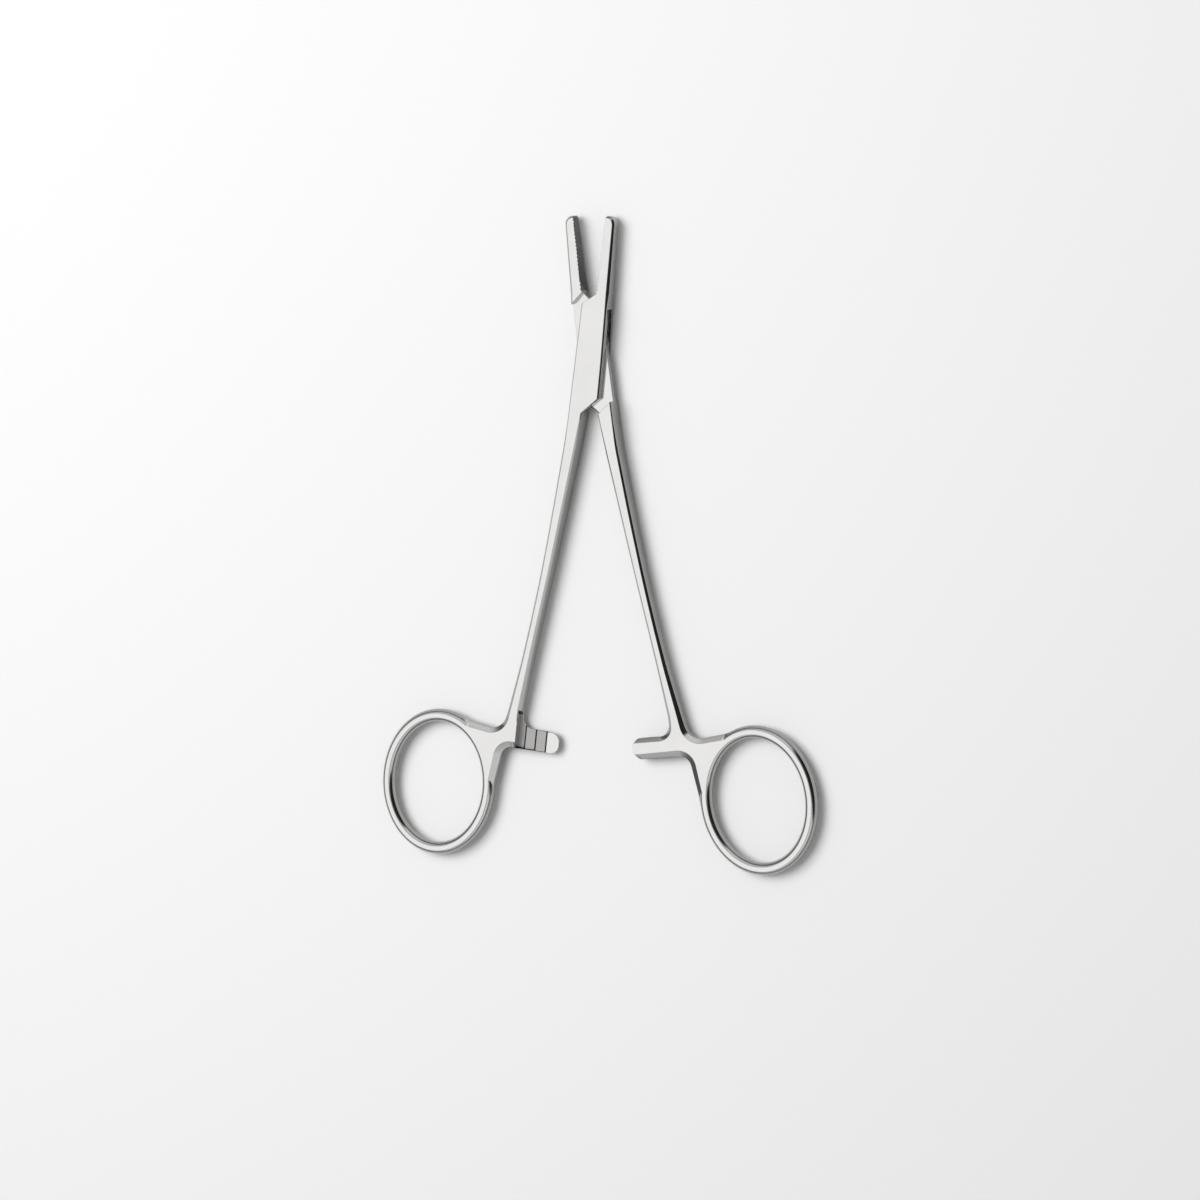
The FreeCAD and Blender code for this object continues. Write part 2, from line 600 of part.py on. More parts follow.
# The pivot pin is turned, pushed through, hammered into the countersinks and ground flush.
pivot_pin = doc.addObject("PartDesign::Body", "pivot_pin")
pin_profile = new_sketch(pivot_pin, "pivot_pin_outline", "XZ_Plane")
pin_outline(pin_profile)
turned = pivot_pin.newObject("PartDesign::Revolution", "pivot_pin_turned")
turned.Profile = pin_profile
turned.ReferenceAxis = (pin_profile, ["V_Axis"])
finish(turned)

place(box_half, -value("opening") / 2, False)
place(through_half, value("opening") / 2, True)
place(pivot_pin, -value("opening") / 2, False)
doc.recompute()

PIECES = (box_half, through_half, pivot_pin)
failed = [item.Name for item in doc.Objects if "Invalid" in item.State or "Error" in item.State]
broken = [item.Label for item in PIECES if item.Shape.isNull() or not item.Shape.isValid()]
if failed or broken:
    raise RuntimeError("failed: %s; broken: %s" % (failed, broken))
os.makedirs("parts", exist_ok=True)
for item in PIECES:
    item.Shape.exportStep("parts/%s.step" % item.Label)
    print(item.Label, round(item.Shape.Volume, 2), "mm3,", len(item.Shape.Solids), "solid")
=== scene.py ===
import math

import bmesh
import bpy
from mathutils import Matrix, Vector


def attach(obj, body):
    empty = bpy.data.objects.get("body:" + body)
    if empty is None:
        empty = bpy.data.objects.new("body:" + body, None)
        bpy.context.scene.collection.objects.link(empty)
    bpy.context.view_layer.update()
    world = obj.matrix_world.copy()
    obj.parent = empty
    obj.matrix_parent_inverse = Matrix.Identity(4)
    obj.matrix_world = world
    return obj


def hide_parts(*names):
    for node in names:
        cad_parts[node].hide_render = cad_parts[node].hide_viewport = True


# Surgical needle holder lying on a table, jaws apart. Both halves are drawn in millimetres in the
# closed position: pivot at the origin, jaw up and on the right of the centre line, shank, ring and
# ratchet arm below it on the left, ratchet teeth towards +Z. Each half is then swung open.
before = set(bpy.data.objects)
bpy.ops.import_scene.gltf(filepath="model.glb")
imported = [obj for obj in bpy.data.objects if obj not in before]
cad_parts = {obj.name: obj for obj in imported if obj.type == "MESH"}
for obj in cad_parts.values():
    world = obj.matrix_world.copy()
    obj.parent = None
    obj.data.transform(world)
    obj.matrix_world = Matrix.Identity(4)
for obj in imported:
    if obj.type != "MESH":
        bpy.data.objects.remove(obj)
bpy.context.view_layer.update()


# Ring and ratchet arm
#
# Finger ring, web and ratchet arm are the lower end of one steel forging, alike on both halves.
# The ring is forged from round bar, the web is flat with ground bevels, and the arm's teeth are
# milled into one of its faces.
WEB_HALF, WEB_BEVEL = 1.44, 0.78
NECK_Y, NECK_OUTER, NECK_INNER = -76.0, -10.75, -7.68
RING_X, RING_Y, RING_ACROSS, RING_ALONG = -25.7, -94.9, 11.8, 14.4
WIRE_ACROSS, WIRE_UP = 1.32, 1.5
ARM_TIP, ARM_TOP, ARM_LOW = 1.1, -80.0, -84.5
RECESS, TOOTH_BACKS, TOOTH_CREST, TOOTH_FOOT = -8.3, (-6.55, -4.1, -1.65), -0.08, -0.55
ROOT_WIDE = 0.46


def flat_outline(corners):
    """A mesh of one face through corners (x, y, radius), each corner rounded by its radius."""
    bm = bmesh.new()
    points = [bm.verts.new((x, y, 0)) for x, y, radius in corners]
    bm.faces.new(points)
    for point, (x, y, radius) in zip(points, corners):
        if radius:
            one, other = (edge.other_vert(point).co - point.co for edge in point.link_edges)
            reach = radius / math.tan(one.angle(other) / 2)
            bmesh.ops.bevel(bm, geom=[point], offset=reach, offset_type="OFFSET", segments=10,
                            profile=0.5, affect="VERTICES", material=-1)
    return bm


def thicken(bm, low, high):
    """Pulls the flat outline up into a closed plate from z = low to z = high."""
    bmesh.ops.translate(bm, verts=bm.verts, vec=(0, 0, low))
    top = bmesh.ops.extrude_face_region(bm, geom=bm.faces[:])["geom"]
    raised = [v for v in top if isinstance(v, bmesh.types.BMVert)]
    bmesh.ops.translate(bm, verts=raised, vec=(0, 0, high - low))
    bmesh.ops.recalc_face_normals(bm, faces=bm.faces)
    return bm


# Turns a flat outline drawn as (Y, Z) up on its side, with its thickness along X.
ON_SIDE = Matrix(((0, 0, 1), (1, 0, 0), (0, 1, 0)))


def combine(bm, tool, operation):
    """Adds the tool to the mesh, or cuts it out of it, and frees the tool."""
    objects = []
    for name, mesh in (("kept", bm), ("tool", tool)):
        data = bpy.data.meshes.new(name)
        mesh.to_mesh(data)
        mesh.free()
        objects.append(bpy.data.objects.new(name, data))
        bpy.context.scene.collection.objects.link(objects[-1])
    change = objects[0].modifiers.new("change", "BOOLEAN")
    change.object, change.operation, change.solver = objects[1], operation, "EXACT"
    change.use_self = True
    result = bmesh.new()
    result.from_mesh(objects[0].evaluated_get(bpy.context.evaluated_depsgraph_get()).data)
    for item in objects:
        data = item.data
        bpy.data.objects.remove(item)
        bpy.data.meshes.remove(data)
    bmesh.ops.dissolve_degenerate(result, dist=1e-4, edges=result.edges)
    return result


def oval(theta, out):
    """A point of the ring's plan: at an angle round its oval centre line, and so far outside it."""
    normal = Vector((RING_ALONG * math.cos(theta), RING_ACROSS * math.sin(theta))).normalized()
    middle = Vector((RING_X + RING_ACROSS * math.cos(theta), RING_Y + RING_ALONG * math.sin(theta)))
    return middle + out * normal


def finger_ring():
    """A round bar bent to a circle, which is then stretched to the ring's oval."""
    bend = 10
    bm = bmesh.new()
    bmesh.ops.create_circle(bm, segments=40, radius=1)
    bmesh.ops.rotate(bm, verts=bm.verts, cent=(0, 0, 0), matrix=Matrix.Rotation(math.pi / 2, 3, "X"))
    bmesh.ops.translate(bm, verts=bm.verts, vec=(bend, 0, 0))
    bmesh.ops.spin(bm, geom=bm.edges[:], cent=(0, 0, 0), axis=(0, 0, 1), angle=math.tau, steps=160,
                   use_merge=True)
    bmesh.ops.remove_doubles(bm, verts=bm.verts, dist=1e-4)
    for v in bm.verts:
        out = math.hypot(v.co.x, v.co.y) - bend
        plan = oval(math.atan2(v.co.y, v.co.x), out * WIRE_ACROSS)
        v.co = (plan.x, plan.y, v.co.z * WIRE_UP)
    bmesh.ops.recalc_face_normals(bm, faces=bm.faces)
    return bm


def bevelled_plate(face, rim, half, depth):
    """A closed plate: two faces at z = -half and half, and a rim so much deeper round them."""
    bm, loops = bmesh.new(), []
    for z, corners in ((-half, face), (depth - half, rim), (half - depth, rim), (half, face)):
        flat = flat_outline(corners)
        bmesh.ops.translate(flat, verts=flat.verts, vec=(0, 0, z))
        if abs(z) < half:
            bmesh.ops.delete(flat, geom=flat.faces[:], context="FACES_ONLY")
        data = bpy.data.meshes.new("outline")
        flat.to_mesh(data)
        flat.free()
        made = len(bm.edges)
        bm.from_mesh(data)
        bpy.data.meshes.remove(data)
        loops.append(bm.edges[made:])
    for low, high in zip(loops, loops[1:]):
        bmesh.ops.bridge_loops(bm, edges=low + high)
    bmesh.ops.recalc_face_normals(bm, faces=bm.faces)
    return bm


def beside_ring(degrees, out):
    """A sharp corner of an outline, given by its place beside the ring."""
    return (*oval(math.radians(degrees), out), 0)


def grip():
    """Web, ring and ratchet arm, open at the neck where the shank goes on."""
    middle = (RING_X, RING_Y, 0)
    rim = [
        (NECK_OUTER, NECK_Y, 0), (-11.9, -81.4, 3.5), (-20.5, -80.46, 9.0), beside_ring(74, 1.15),
        beside_ring(92, 0.8), middle, beside_ring(-24, 0.8), beside_ring(-8, 1.2), (-12.6, -93.4, 12.0),
        (-11.3, ARM_LOW, 2.5), (ARM_TIP, ARM_LOW, 1.9), (ARM_TIP, ARM_TOP, 1.9), (NECK_INNER, ARM_TOP, 2.4),
        (NECK_INNER, NECK_Y, 0)]
    face = [
        (NECK_OUTER + WEB_BEVEL, NECK_Y, 0), (-11.0, -82.6, 4.4), (-20.5, -81.6, 9.0), beside_ring(74, 0.1),
        beside_ring(92, -0.2), middle, beside_ring(-24, -0.2), beside_ring(-8, 0.0), (-13.85, -93.4, 12.0),
        (-12.6, -83.05, 3.8), (0.95, -83.3, 0.7), (0.95, -80.95, 0.7), (-8.5, -81.0, 3.1),
        (NECK_INNER - WEB_BEVEL, NECK_Y, 0)]
    bm = bevelled_plate(face, rim, WEB_HALF, WEB_BEVEL)
    # Three ratchet teeth, each a ramp with a steep back, in a recess milled over the arm.
    clear = 3.0
    steps = [(RECESS, clear, 0), (RECESS, TOOTH_FOOT, 0)]
    for x in TOOTH_BACKS:
        steps += [(x, TOOTH_FOOT, 0), (x, TOOTH_CREST, 0)]
    steps += [(clear, TOOTH_FOOT, 0), (clear, clear, 0)]
    teeth = thicken(flat_outline(steps), -ARM_TOP - 5.0, 1.5 - ARM_LOW)
    bmesh.ops.rotate(teeth, verts=teeth.verts, cent=(0, 0, 0), matrix=Matrix.Rotation(math.pi / 2, 3, "X"))
    # The cutter leaves the steel in an arc at the neck.
    sweep = thicken(flat_outline([
        (-85.5, -0.6, 0), (-76.3, -0.6, 2.1), (-76.3, 2.9, 0), (-85.5, 2.9, 0)]), -8.9, 2.9)
    bmesh.ops.rotate(sweep, verts=sweep.verts, cent=(0, 0, 0), matrix=ON_SIDE)
    bm = combine(bm, combine(teeth, sweep, "INTERSECT"), "DIFFERENCE")
    hole = bmesh.new()
    bmesh.ops.create_cone(hole, cap_ends=True, segments=160, radius1=1, radius2=1, depth=6)
    for v in hole.verts:
        v.co = (RING_X + RING_ACROSS * v.co.x, RING_Y + RING_ALONG * v.co.y, v.co.z)
    bm = combine(bm, hole, "DIFFERENCE")
    return combine(bm, finger_ring(), "UNION")


# Shank, box and jaw
#
# Above the neck the same forging runs on as a slender bevelled shank, the thick box and the
# tapered jaw. Everything is ground flat, with narrow bevels along the edges.
BOX_HALF, BOX_FOOT = 2.2, -13.2
JAW_Y, JAW_HALF, JAW_BEVEL = 14.0, 1.85, 0.58
BITE, CROTCH = 0.04, 13.7


def eight_corners(y, left, right, half, left_bevel, right_bevel):
    """A section of the bar at y: a rectangle with bevelled corners."""
    return [Vector(p) for p in (
        (left + left_bevel, y, -half), (right - right_bevel, y, -half), (right, y, right_bevel - half),
        (right, y, half - right_bevel), (right - right_bevel, y, half), (left + left_bevel, y, half),
        (left, y, half - left_bevel), (left, y, left_bevel - half))]


def through_stations(stations, steps):
    """Sections between the stations, on a smooth curve through each of their sizes."""
    rows = []
    for i in range(len(stations) - 1):
        before = stations[max(i - 1, 0)]
        a, b = stations[i], stations[i + 1]
        after = stations[min(i + 2, len(stations) - 1)]
        for k in range(steps):
            s = k / steps
            row = []
            for p0, p1, p2, p3 in zip(before, a, b, after):
                h = b[0] - a[0]
                m1 = (p2 - p0) / (b[0] - before[0]) * h
                m2 = (p3 - p1) / (after[0] - a[0]) * h
                row.append((2 * s**3 - 3 * s**2 + 1) * p1 + (s**3 - 2 * s**2 + s) * m1
                           + (3 * s**2 - 2 * s**3) * p2 + (s**3 - s**2) * m2)
            rows.append(row)
    return rows + [stations[-1]]


def loft(sections):
    """A closed solid through a row of sections with equal numbers of corners."""
    bm = bmesh.new()
    loops = []
    for section in sections:
        corners = [bm.verts.new(p) for p in section]
        loops.append([bm.edges.new(pair) for pair in zip(corners, corners[1:] + corners[:1])])
    for one, other in zip(loops, loops[1:]):
        bmesh.ops.bridge_loops(bm, edges=one + other)
    for end in (loops[0], loops[-1]):
        bmesh.ops.contextual_create(bm, geom=end)
    bmesh.ops.recalc_face_normals(bm, faces=bm.faces)
    return bm


def bar(left_mid, left_low):
    """Shank, box and jaw in one run, still full width beside the jaw."""
    slope = (left_mid - left_low) / BOX_FOOT
    rows = through_stations([
        (NECK_Y, NECK_OUTER, NECK_INNER, WEB_HALF, WEB_BEVEL, WEB_BEVEL),
        (-64.0, -8.65, -6.4, 1.58, 0.6, 0.6),
        (-45.0, -6.22, -4.02, 1.75, 0.48, 0.48),
        (-20.0, -4.0, -1.15, 2.08, 0.42, 0.42),
        (BOX_FOOT, left_low, -0.58, BOX_HALF, 0.25, 0.25)], 12)
    rows += [
        (-11.5, left_mid + 11.5 * slope, -0.45, BOX_HALF, 0.25, 0.25),
        (-8.0, left_mid + 8.0 * slope, 3.05, BOX_HALF, 0.25, 0.35),
        (0.0, left_mid, 3.0, BOX_HALF, 0.25, 0.35),
        (10.7, -3.0, 2.75, BOX_HALF, 0.25, 0.35),
        (JAW_Y, -3.0, 2.72, JAW_HALF, 0.25, JAW_BEVEL)]
    return loft([eight_corners(*row) for row in rows])


def jaw():
    """The jaw proper: flat on its biting side, bevelled round its back and tip, thinner to the tip."""
    thinning = 0.0152
    face = [(BITE, JAW_Y, 0), (BITE, 29.56, 0.35), (1.72, 29.56, 1.35), (1.96, 22.0, 0),
            (2.72 - JAW_BEVEL, JAW_Y, 0)]
    rim = [(BITE, JAW_Y, 0), (BITE, 30.0, 0.5), (2.16, 30.0, 1.75), (2.42, 22.0, 0), (2.72, JAW_Y, 0)]
    bm = bevelled_plate(face, rim, JAW_HALF, JAW_BEVEL)
    for v in bm.verts:
        v.co.z *= 1 - thinning * (v.co.y - JAW_Y)
    return bm


def cross_cut(bm):
    """Cuts V grooves over the biting face, slanting both ways."""
    first, pitch, count, wide, deep = 14.9, 0.8, 19, 0.46, 0.22
    for slant in (1, -1):
        groove = thicken(flat_outline([
            (BITE - deep, -wide / 2, 0), (BITE, -wide / 2, 0), (BITE + deep, 0, 0),
            (BITE, wide / 2, 0), (BITE - deep, wide / 2, 0)]), -3.7, 3.7)
        turn = Matrix.Rotation(slant * math.pi / 4, 3, "X")
        bmesh.ops.rotate(groove, verts=groove.verts, cent=(0, 0, 0), matrix=turn)
        bmesh.ops.translate(groove, verts=groove.verts, vec=(0, first, 0))
        one = groove.verts[:] + groove.edges[:] + groove.faces[:]
        for i in range(1, count):
            made = bmesh.ops.duplicate(groove, geom=one)["geom"]
            bmesh.ops.translate(groove, verts=[v for v in made if isinstance(v, bmesh.types.BMVert)],
                                vec=(0, pitch * i, 0))
        above = thicken(flat_outline([(-2, 14.25, 0), (2, 14.25, 0), (2, 32, 0), (-2, 32, 0)]), -4, 4)
        bm = combine(bm, combine(groove, above, "INTERSECT"), "DIFFERENCE")
    return bm


def half(left_mid, left_low, upper_edge):
    """Grip, shank, box and jaw as one closed mesh."""
    bm = bar(left_mid, left_low)
    slant = (CROTCH - upper_edge) / 3.0
    beside_jaw = thicken(flat_outline([
        (BITE, CROTCH, 0), (BITE, 40.0, 0), (-6.0, 40.0, 0), (-6.0, CROTCH - 6.0 * slant, 0)]), -5, 5)
    bm = combine(bm, beside_jaw, "DIFFERENCE")
    bm = cross_cut(combine(bm, jaw(), "UNION"))
    lower = grip()
    data = bpy.data.meshes.new("grip")
    lower.to_mesh(data)
    lower.free()
    bm.from_mesh(data)
    bpy.data.meshes.remove(data)
    at_neck = [v for v in bm.verts if abs(v.co.y - NECK_Y) < 1e-3]
    inside = [f for f in bm.faces if all(abs(v.co.y - NECK_Y) < 1e-3 for v in f.verts)]
    bmesh.ops.delete(bm, geom=inside, context="FACES_ONLY")
    bmesh.ops.remove_doubles(bm, verts=at_neck, dist=0.06)
    return bm


def soften(bm, keep):
    """Breaks the outer edges with a fine rounded bevel, as polishing does."""
    bmesh.ops.remove_doubles(bm, verts=bm.verts, dist=2e-4)
    bmesh.ops.dissolve_limit(bm, angle_limit=math.radians(0.3), verts=bm.verts, edges=bm.edges)

    def is_outer(edge):
        """Whether an edge is long, sharp and outward, and neither at the ring nor to be kept."""
        middle = (edge.verts[0].co + edge.verts[1].co) / 2
        at_ring = math.hypot((middle.x - RING_X) / RING_ACROSS, (middle.y - RING_Y) / RING_ALONG) < 1.13
        sharp = edge.is_manifold and edge.calc_face_angle_signed() > math.radians(25)
        return sharp and edge.calc_length() > 0.15 and not at_ring and not keep(middle)
    outer = [edge for edge in bm.edges if is_outer(edge)]
    bmesh.ops.bevel(bm, geom=outer, offset=0.1, segments=3, profile=0.5, affect="EDGES", material=-1,
                    clamp_overlap=False)
    return bm


def steel(name, color, side, roughness, grain, depth):
    """Stainless steel: its colour on broad faces, how much darker its sides are painted next to them as
    painted shade, how fine its marks are along X, Y and Z, and how deep."""
    material = bpy.data.materials.new(name)
    material.use_nodes = True
    nodes, links = material.node_tree.nodes, material.node_tree.links
    shader = nodes["Principled BSDF"]
    shader.inputs["Metallic"].default_value = 1.0
    where = nodes.new("ShaderNodeTexCoord")
    stretch = nodes.new("ShaderNodeMapping")
    stretch.inputs["Scale"].default_value = grain
    links.new(where.outputs["Object"], stretch.inputs["Vector"])
    marks = nodes.new("ShaderNodeTexNoise")
    marks.inputs["Scale"].default_value = 1.0
    marks.inputs["Detail"].default_value = 3.0
    links.new(stretch.outputs["Vector"], marks.inputs["Vector"])
    bump = nodes.new("ShaderNodeBump")
    bump.inputs["Strength"].default_value = depth
    bump.inputs["Distance"].default_value = 0.00002
    links.new(marks.outputs["Fac"], bump.inputs["Height"])
    links.new(bump.outputs["Normal"], shader.inputs["Normal"])
    # Handling leaves faint clouds of tone, which are also a little rougher.
    cloud = nodes.new("ShaderNodeTexNoise")
    cloud.inputs["Scale"].default_value = 160.0
    cloud.inputs["Detail"].default_value = 4.0
    links.new(where.outputs["Object"], cloud.inputs["Vector"])
    tone = nodes.new("ShaderNodeMapRange")
    tone.inputs["From Min"].default_value, tone.inputs["From Max"].default_value = 0.3, 0.7
    tone.inputs["To Min"].default_value, tone.inputs["To Max"].default_value = 0.95, 1.0
    links.new(cloud.outputs["Fac"], tone.inputs["Value"])
    # Painted shade: the sides and bevels are painted darker than the broad faces, by how far their normal
    # tilts from straight up or down.
    upright = nodes.new("ShaderNodeSeparateXYZ")
    links.new(nodes.new("ShaderNodeNewGeometry").outputs["Normal"], upright.inputs["Vector"])
    level = nodes.new("ShaderNodeMath")
    level.operation = "ABSOLUTE"
    links.new(upright.outputs["Z"], level.inputs[0])
    painted_side_shade = nodes.new("ShaderNodeMapRange")
    painted_side_shade.interpolation_type = "SMOOTHSTEP"
    painted_side_shade.inputs["From Min"].default_value, painted_side_shade.inputs["From Max"].default_value = 0.85, 0.99
    painted_side_shade.inputs["To Min"].default_value, painted_side_shade.inputs["To Max"].default_value = side, 1.0
    links.new(level.outputs["Value"], painted_side_shade.inputs["Value"])
    shade = nodes.new("ShaderNodeMath")
    shade.operation = "MULTIPLY"
    links.new(tone.outputs["Result"], shade.inputs[0])
    links.new(painted_side_shade.outputs["Result"], shade.inputs[1])
    base = nodes.new("ShaderNodeVectorMath")
    base.operation = "SCALE"
    base.inputs[0].default_value = color
    links.new(shade.outputs["Value"], base.inputs["Scale"])
    links.new(base.outputs["Vector"], shader.inputs["Base Color"])
    rough = nodes.new("ShaderNodeMapRange")
    rough.inputs["To Min"].default_value = roughness - 0.02
    rough.inputs["To Max"].default_value = roughness + 0.04
    links.new(cloud.outputs["Fac"], rough.inputs["Value"])
    links.new(rough.outputs["Result"], shader.inputs["Roughness"])
    return material


# Most of the steel is ground and glass beaded to a fine satin. The bite is dull, and painted dark as
# painted shade in its grooves; the ratchet keeps its milling marks, and the corners behind its teeth are
# painted black as painted shade.
FINISHES_AND_SHADE = (
    # Painted shade: the sides and bevels are painted to 0.65 of the broad faces' colour.
    steel("satin_steel", (0.58, 0.575, 0.565), 0.65, 0.14, (9000, 9000, 9000), 0.10),
    # Painted shade: the bite's dark colour stands for the shade in its grooves; its roughness is its own.
    steel("cross_cut_steel", (0.20, 0.20, 0.20), 1.0, 0.45, (9000, 9000, 9000), 0.30),
    steel("milled_steel", (0.36, 0.355, 0.35), 1.0, 0.42, (9000, 500, 9000), 0.40),
    # Painted shade: near black, for the corners behind the ratchet teeth.
    steel("tooth_root_painted_shade", (0.03, 0.03, 0.03), 1.0, 0.60, (9000, 9000, 9000), 0.20))


def on_bite(p):
    """Whether a point lies on the biting face or in its grooves."""
    return p.x < 0.35 and p.y > JAW_Y


def in_recess(face):
    """Whether a face is part of the ratchet's milled ramps."""
    middle = face.calc_center_median()
    return (TOOTH_FOOT - 0.01 < middle.z < TOOTH_CREST + 0.01 and face.normal.z > 0.9
            and RECESS < middle.x < ARM_TIP and ARM_LOW < middle.y < ARM_TOP + 3)


def spread_finishes_and_shade(bm):
    """Gives the bite and the milled ratchet their own finishes, paints the bite dark and the corners behind
    its teeth black as painted shade.
    """
    for x in TOOTH_BACKS:
        floor = [face for face in bm.faces if in_recess(face)]
        parts = dict.fromkeys(floor + [part for face in floor for part in (*face.edges, *face.verts)])
        bmesh.ops.bisect_plane(bm, geom=list(parts), dist=1e-5,
                               plane_co=(x - ROOT_WIDE, 0, 0), plane_no=(1, 0, 0))
    for face in bm.faces:
        middle = face.calc_center_median()
        if all(on_bite(v.co) for v in face.verts):
            face.material_index = 1
        elif in_recess(face) and middle.x < TOOTH_BACKS[-1]:
            # Painted shade: a black strip ROOT_WIDE wide at the foot of each tooth's back, where shade
            # falls in the corner.
            at_root = any(x - ROOT_WIDE < middle.x < x + 0.01 for x in TOOTH_BACKS)
            face.material_index = 3 if at_root else 2


def swing(bm, name, turn, turned_over, body, node):
    """Swings a half or the pin into the open pose, and hands it to the instrument."""
    place = (Matrix.Translation((0, 0, BOX_HALF)) @ Matrix.Rotation(math.radians(turn), 4, "Z")
             @ Matrix.Rotation(math.pi if turned_over else 0, 4, "Y"))
    bmesh.ops.transform(bm, matrix=Matrix.Scale(0.001, 4) @ place, verts=bm.verts)
    for face in bm.faces:
        face.smooth = True
    for edge in bm.edges:
        edge.smooth = not edge.is_manifold or edge.calc_face_angle() < math.radians(34)
    data = bpy.data.meshes.new(name)
    bm.to_mesh(data)
    bm.free()
    piece = bpy.data.objects.new(name, data)
    bpy.context.scene.collection.objects.link(piece)
    piece.modifiers.new("flat faces", "WEIGHTED_NORMAL").keep_sharp = True
    for finish in FINISHES_AND_SHADE:
        data.materials.append(finish)
    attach(piece, body)
    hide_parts(node)


# Box half
#
# The female half: right-hand jaw, box and left-hand ring. A slot runs right through its box between
# two cheeks, and the rivet's hole is countersunk in both.
# Each half is swung open by so many degrees, the through half the other way.
SWUNG = 6.92
SLOT_HALF = 0.7
PIN_RADIUS, PIN_END, SINK = 1.2, 1.55, 0.35


def pin_shape():
    """The rivet: a turned shank with countersunk ends."""
    bm = bmesh.new()
    profile = [bm.verts.new(p) for p in (
        (0, 0, -BOX_HALF), (PIN_END, 0, -BOX_HALF), (PIN_RADIUS, 0, SINK - BOX_HALF),
        (PIN_RADIUS, 0, BOX_HALF - SINK), (PIN_END, 0, BOX_HALF), (0, 0, BOX_HALF))]
    edges = [bm.edges.new(pair) for pair in zip(profile, profile[1:])]
    bmesh.ops.spin(bm, geom=edges, cent=(0, 0, 0), axis=(0, 0, 1), angle=math.tau, steps=64, use_merge=True)
    bmesh.ops.remove_doubles(bm, verts=bm.verts, dist=1e-4)
    bmesh.ops.recalc_face_normals(bm, faces=bm.faces)
    return bm


def bite_or_bore(p):
    """Whether a point lies on the biting face or at the pin, where the edges stay crisp."""
    return on_bite(p) or math.hypot(p.x, p.y) < 1.7


box = half(-3.2, -3.5, 11.2)
slot = thicken(flat_outline([
    (-7.0, -4.35, 0), (0.45, -11.8, 0), (7.0, -11.8, 0), (7.0, 14.0 - 7.0 * 3.7 / 3.0, 0),
    (0, 14.0, 0), (-7.0, 14.0, 0)]), -SLOT_HALF, SLOT_HALF)
box = combine(box, slot, "DIFFERENCE")
# The drill reaches just past both cheeks.
drill = pin_shape()
for v in drill.verts:
    v.co.z *= 1.001
box = combine(box, drill, "DIFFERENCE")
box = soften(box, bite_or_bore)
spread_finishes_and_shade(box)
swing(box, "box_half_steel", -SWUNG, False, "box_body", "box_half")


# Through half
#
# The male half: left-hand jaw and right-hand ring. Its middle is milled from both faces down to a
# thin tenon with two slanting shoulders, which passes through the box's slot.
TENON_HALF, PIN_PLAY = 0.65, 0.05
through = half(-3.6, -3.75, 10.0)
upper, lower = 2.5 / 3.0, 2.55 / 3.3
for low, high in ((TENON_HALF, 4.0), (-4.0, -TENON_HALF)):
    milled = thicken(flat_outline([
        (-7.5, -9.2 + lower * 3.75, 0), (-0.45, -11.75, 0), (7.5, -11.75, 0), (7.5, 13.95 - 7.5 * upper, 0),
        (0, 13.95, 0), (-7.5, 13.95, 0)]), low, high)
    through = combine(through, milled, "DIFFERENCE")
bore = bmesh.new()
bmesh.ops.create_cone(bore, cap_ends=True, segments=64, radius1=PIN_RADIUS + PIN_PLAY,
                      radius2=PIN_RADIUS + PIN_PLAY, depth=6)
through = combine(through, bore, "DIFFERENCE")
through = soften(through, bite_or_bore)
spread_finishes_and_shade(through)
swing(through, "through_half_steel", SWUNG, True, "through_body", "through_half")


# Pivot pin
#
# A steel rivet through both cheeks and the tenon, hammered into the countersinks and ground flush,
# so that hardly a line shows.
swing(pin_shape(), "pivot_pin_steel", -SWUNG, False, "box_body", "pivot_pin")


# Floor, light and camera
#
# A pale table and a white room, softly lit from above, with a dark side to the right that the
# right-hand bevels mirror.
table = bmesh.new()
bmesh.ops.create_grid(table, x_segments=1, y_segments=1, size=1.5)
data = bpy.data.meshes.new("table")
table.to_mesh(data)
table.free()
floor = bpy.data.objects.new("table", data)
bpy.context.scene.collection.objects.link(floor)
floor.location.z = -0.0001
paper = bpy.data.materials.new("paper")
paper.use_nodes = True
paper.node_tree.nodes["Principled BSDF"].inputs["Base Color"].default_value = (0.9, 0.9, 0.9, 1)
paper.node_tree.nodes["Principled BSDF"].inputs["Roughness"].default_value = 0.9
data.materials.append(paper)

world = bpy.data.worlds.new("room")
bpy.context.scene.world = world
world.use_nodes = True
nodes, links = world.node_tree.nodes, world.node_tree.links
toward = nodes.new("ShaderNodeTexCoord").outputs["Generated"]


def past(aim, inner, outer, inside, outside):
    """A level over the mirrored room, from inside one angle about a direction to outside another."""
    spot = nodes.new("ShaderNodeVectorMath")
    spot.operation = "DOT_PRODUCT"
    spot.inputs[1].default_value = Vector(aim).normalized()
    links.new(toward, spot.inputs[0])
    fade = nodes.new("ShaderNodeMapRange")
    fade.interpolation_type = "SMOOTHSTEP"
    fade.inputs["From Min"].default_value = math.cos(math.radians(outer))
    fade.inputs["From Max"].default_value = math.cos(math.radians(inner))
    fade.inputs["To Min"].default_value, fade.inputs["To Max"].default_value = outside, inside
    links.new(spot.outputs["Value"], fade.inputs["Value"])
    return fade.outputs["Result"]


def sum_or_product(operation, one, other):
    """Two levels joined into one by the Math node's operation."""
    join = nodes.new("ShaderNodeMath")
    join.operation = operation
    links.new(one, join.inputs[0])
    links.new(other, join.inputs[1])
    return join.outputs["Value"]


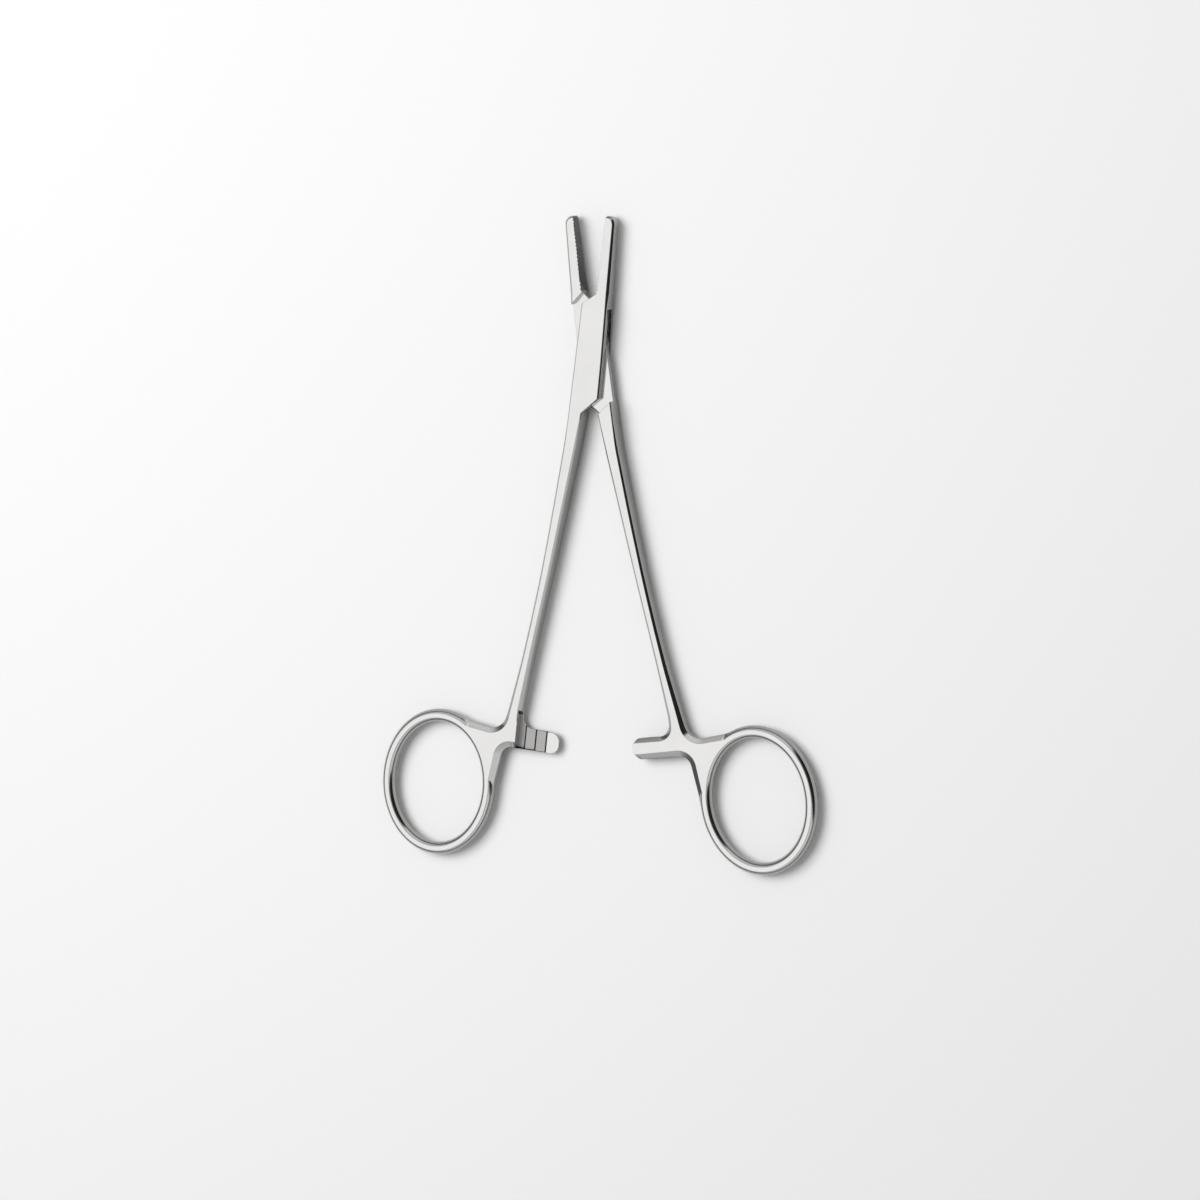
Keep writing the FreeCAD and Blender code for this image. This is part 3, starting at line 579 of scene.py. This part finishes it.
# A black flag on the right, a dim skirt round the foot of the room, and a dark seam round the light.
left_overhead = (-0.41, -0.08, 0.91)
seam = sum_or_product(
    "SUBTRACT", past(left_overhead, 44, 48, 1.0, 0.25), past(left_overhead, 52, 56, 0.0, -0.75))
flag = past((0.87, 0.25, 0.42), 30, 38, 0.04, 1.42)
skirt = past((0, 0, 1), 62, 82, 1.0, 0.12)
mirrored = sum_or_product("MULTIPLY", flag, skirt)
mirrored = sum_or_product("MULTIPLY", mirrored, seam)
white = nodes["Background"]
white.inputs["Color"].default_value = (1, 1, 1, 1)
white.inputs["Strength"].default_value = 1.0
soft = nodes.new("ShaderNodeBackground")
soft.inputs["Strength"].default_value = 0.35
soft.inputs["Color"].default_value = (1, 1, 1, 1)
room = nodes.new("ShaderNodeBackground")
room.inputs["Color"].default_value = (1, 1, 1, 1)
links.new(mirrored, room.inputs["Strength"])
ray = nodes.new("ShaderNodeLightPath")
seen = nodes.new("ShaderNodeMath")
seen.operation = "ADD"
links.new(ray.outputs["Is Camera Ray"], seen.inputs[0])
links.new(ray.outputs["Is Transmission Ray"], seen.inputs[1])
in_metal = nodes.new("ShaderNodeMixShader")
links.new(ray.outputs["Is Glossy Ray"], in_metal.inputs["Fac"])
links.new(soft.outputs["Background"], in_metal.inputs[1])
links.new(room.outputs["Background"], in_metal.inputs[2])
all_rays = nodes.new("ShaderNodeMixShader")
links.new(seen.outputs["Value"], all_rays.inputs["Fac"])
links.new(in_metal.outputs["Shader"], all_rays.inputs[1])
links.new(white.outputs["Background"], all_rays.inputs[2])
links.new(all_rays.outputs["Shader"], nodes["World Output"].inputs["Surface"])


# One soft lamp over the table's left side. The metal mirrors the room instead of it.
light = bpy.data.lights.new("overhead", "AREA")
light.shape, light.size, light.energy = "SQUARE", 0.7, 8.6
lamp = bpy.data.objects.new("overhead", light)
place, aim = Vector((-0.35, 0.25, 0.9)), Vector((0, -0.04, 0))
lamp.location = place
lamp.rotation_euler = (aim - place).to_track_quat("-Z", "Y").to_euler()
lamp.visible_glossy = False
bpy.context.scene.collection.objects.link(lamp)

# The camera looks down on the table, tilted to the right.
camera = bpy.data.objects.new("camera", bpy.data.cameras.new("camera"))
camera.data.lens, camera.data.sensor_width = 150.0, 36.0
camera.location = (0.42878, 0.06653, 0.95204)
camera.rotation_euler = (math.radians(-6.6266), math.radians(24.1857), math.radians(-0.5072))
bpy.context.scene.collection.objects.link(camera)
bpy.context.scene.camera = camera
bpy.context.scene.view_settings.view_transform = "Standard"
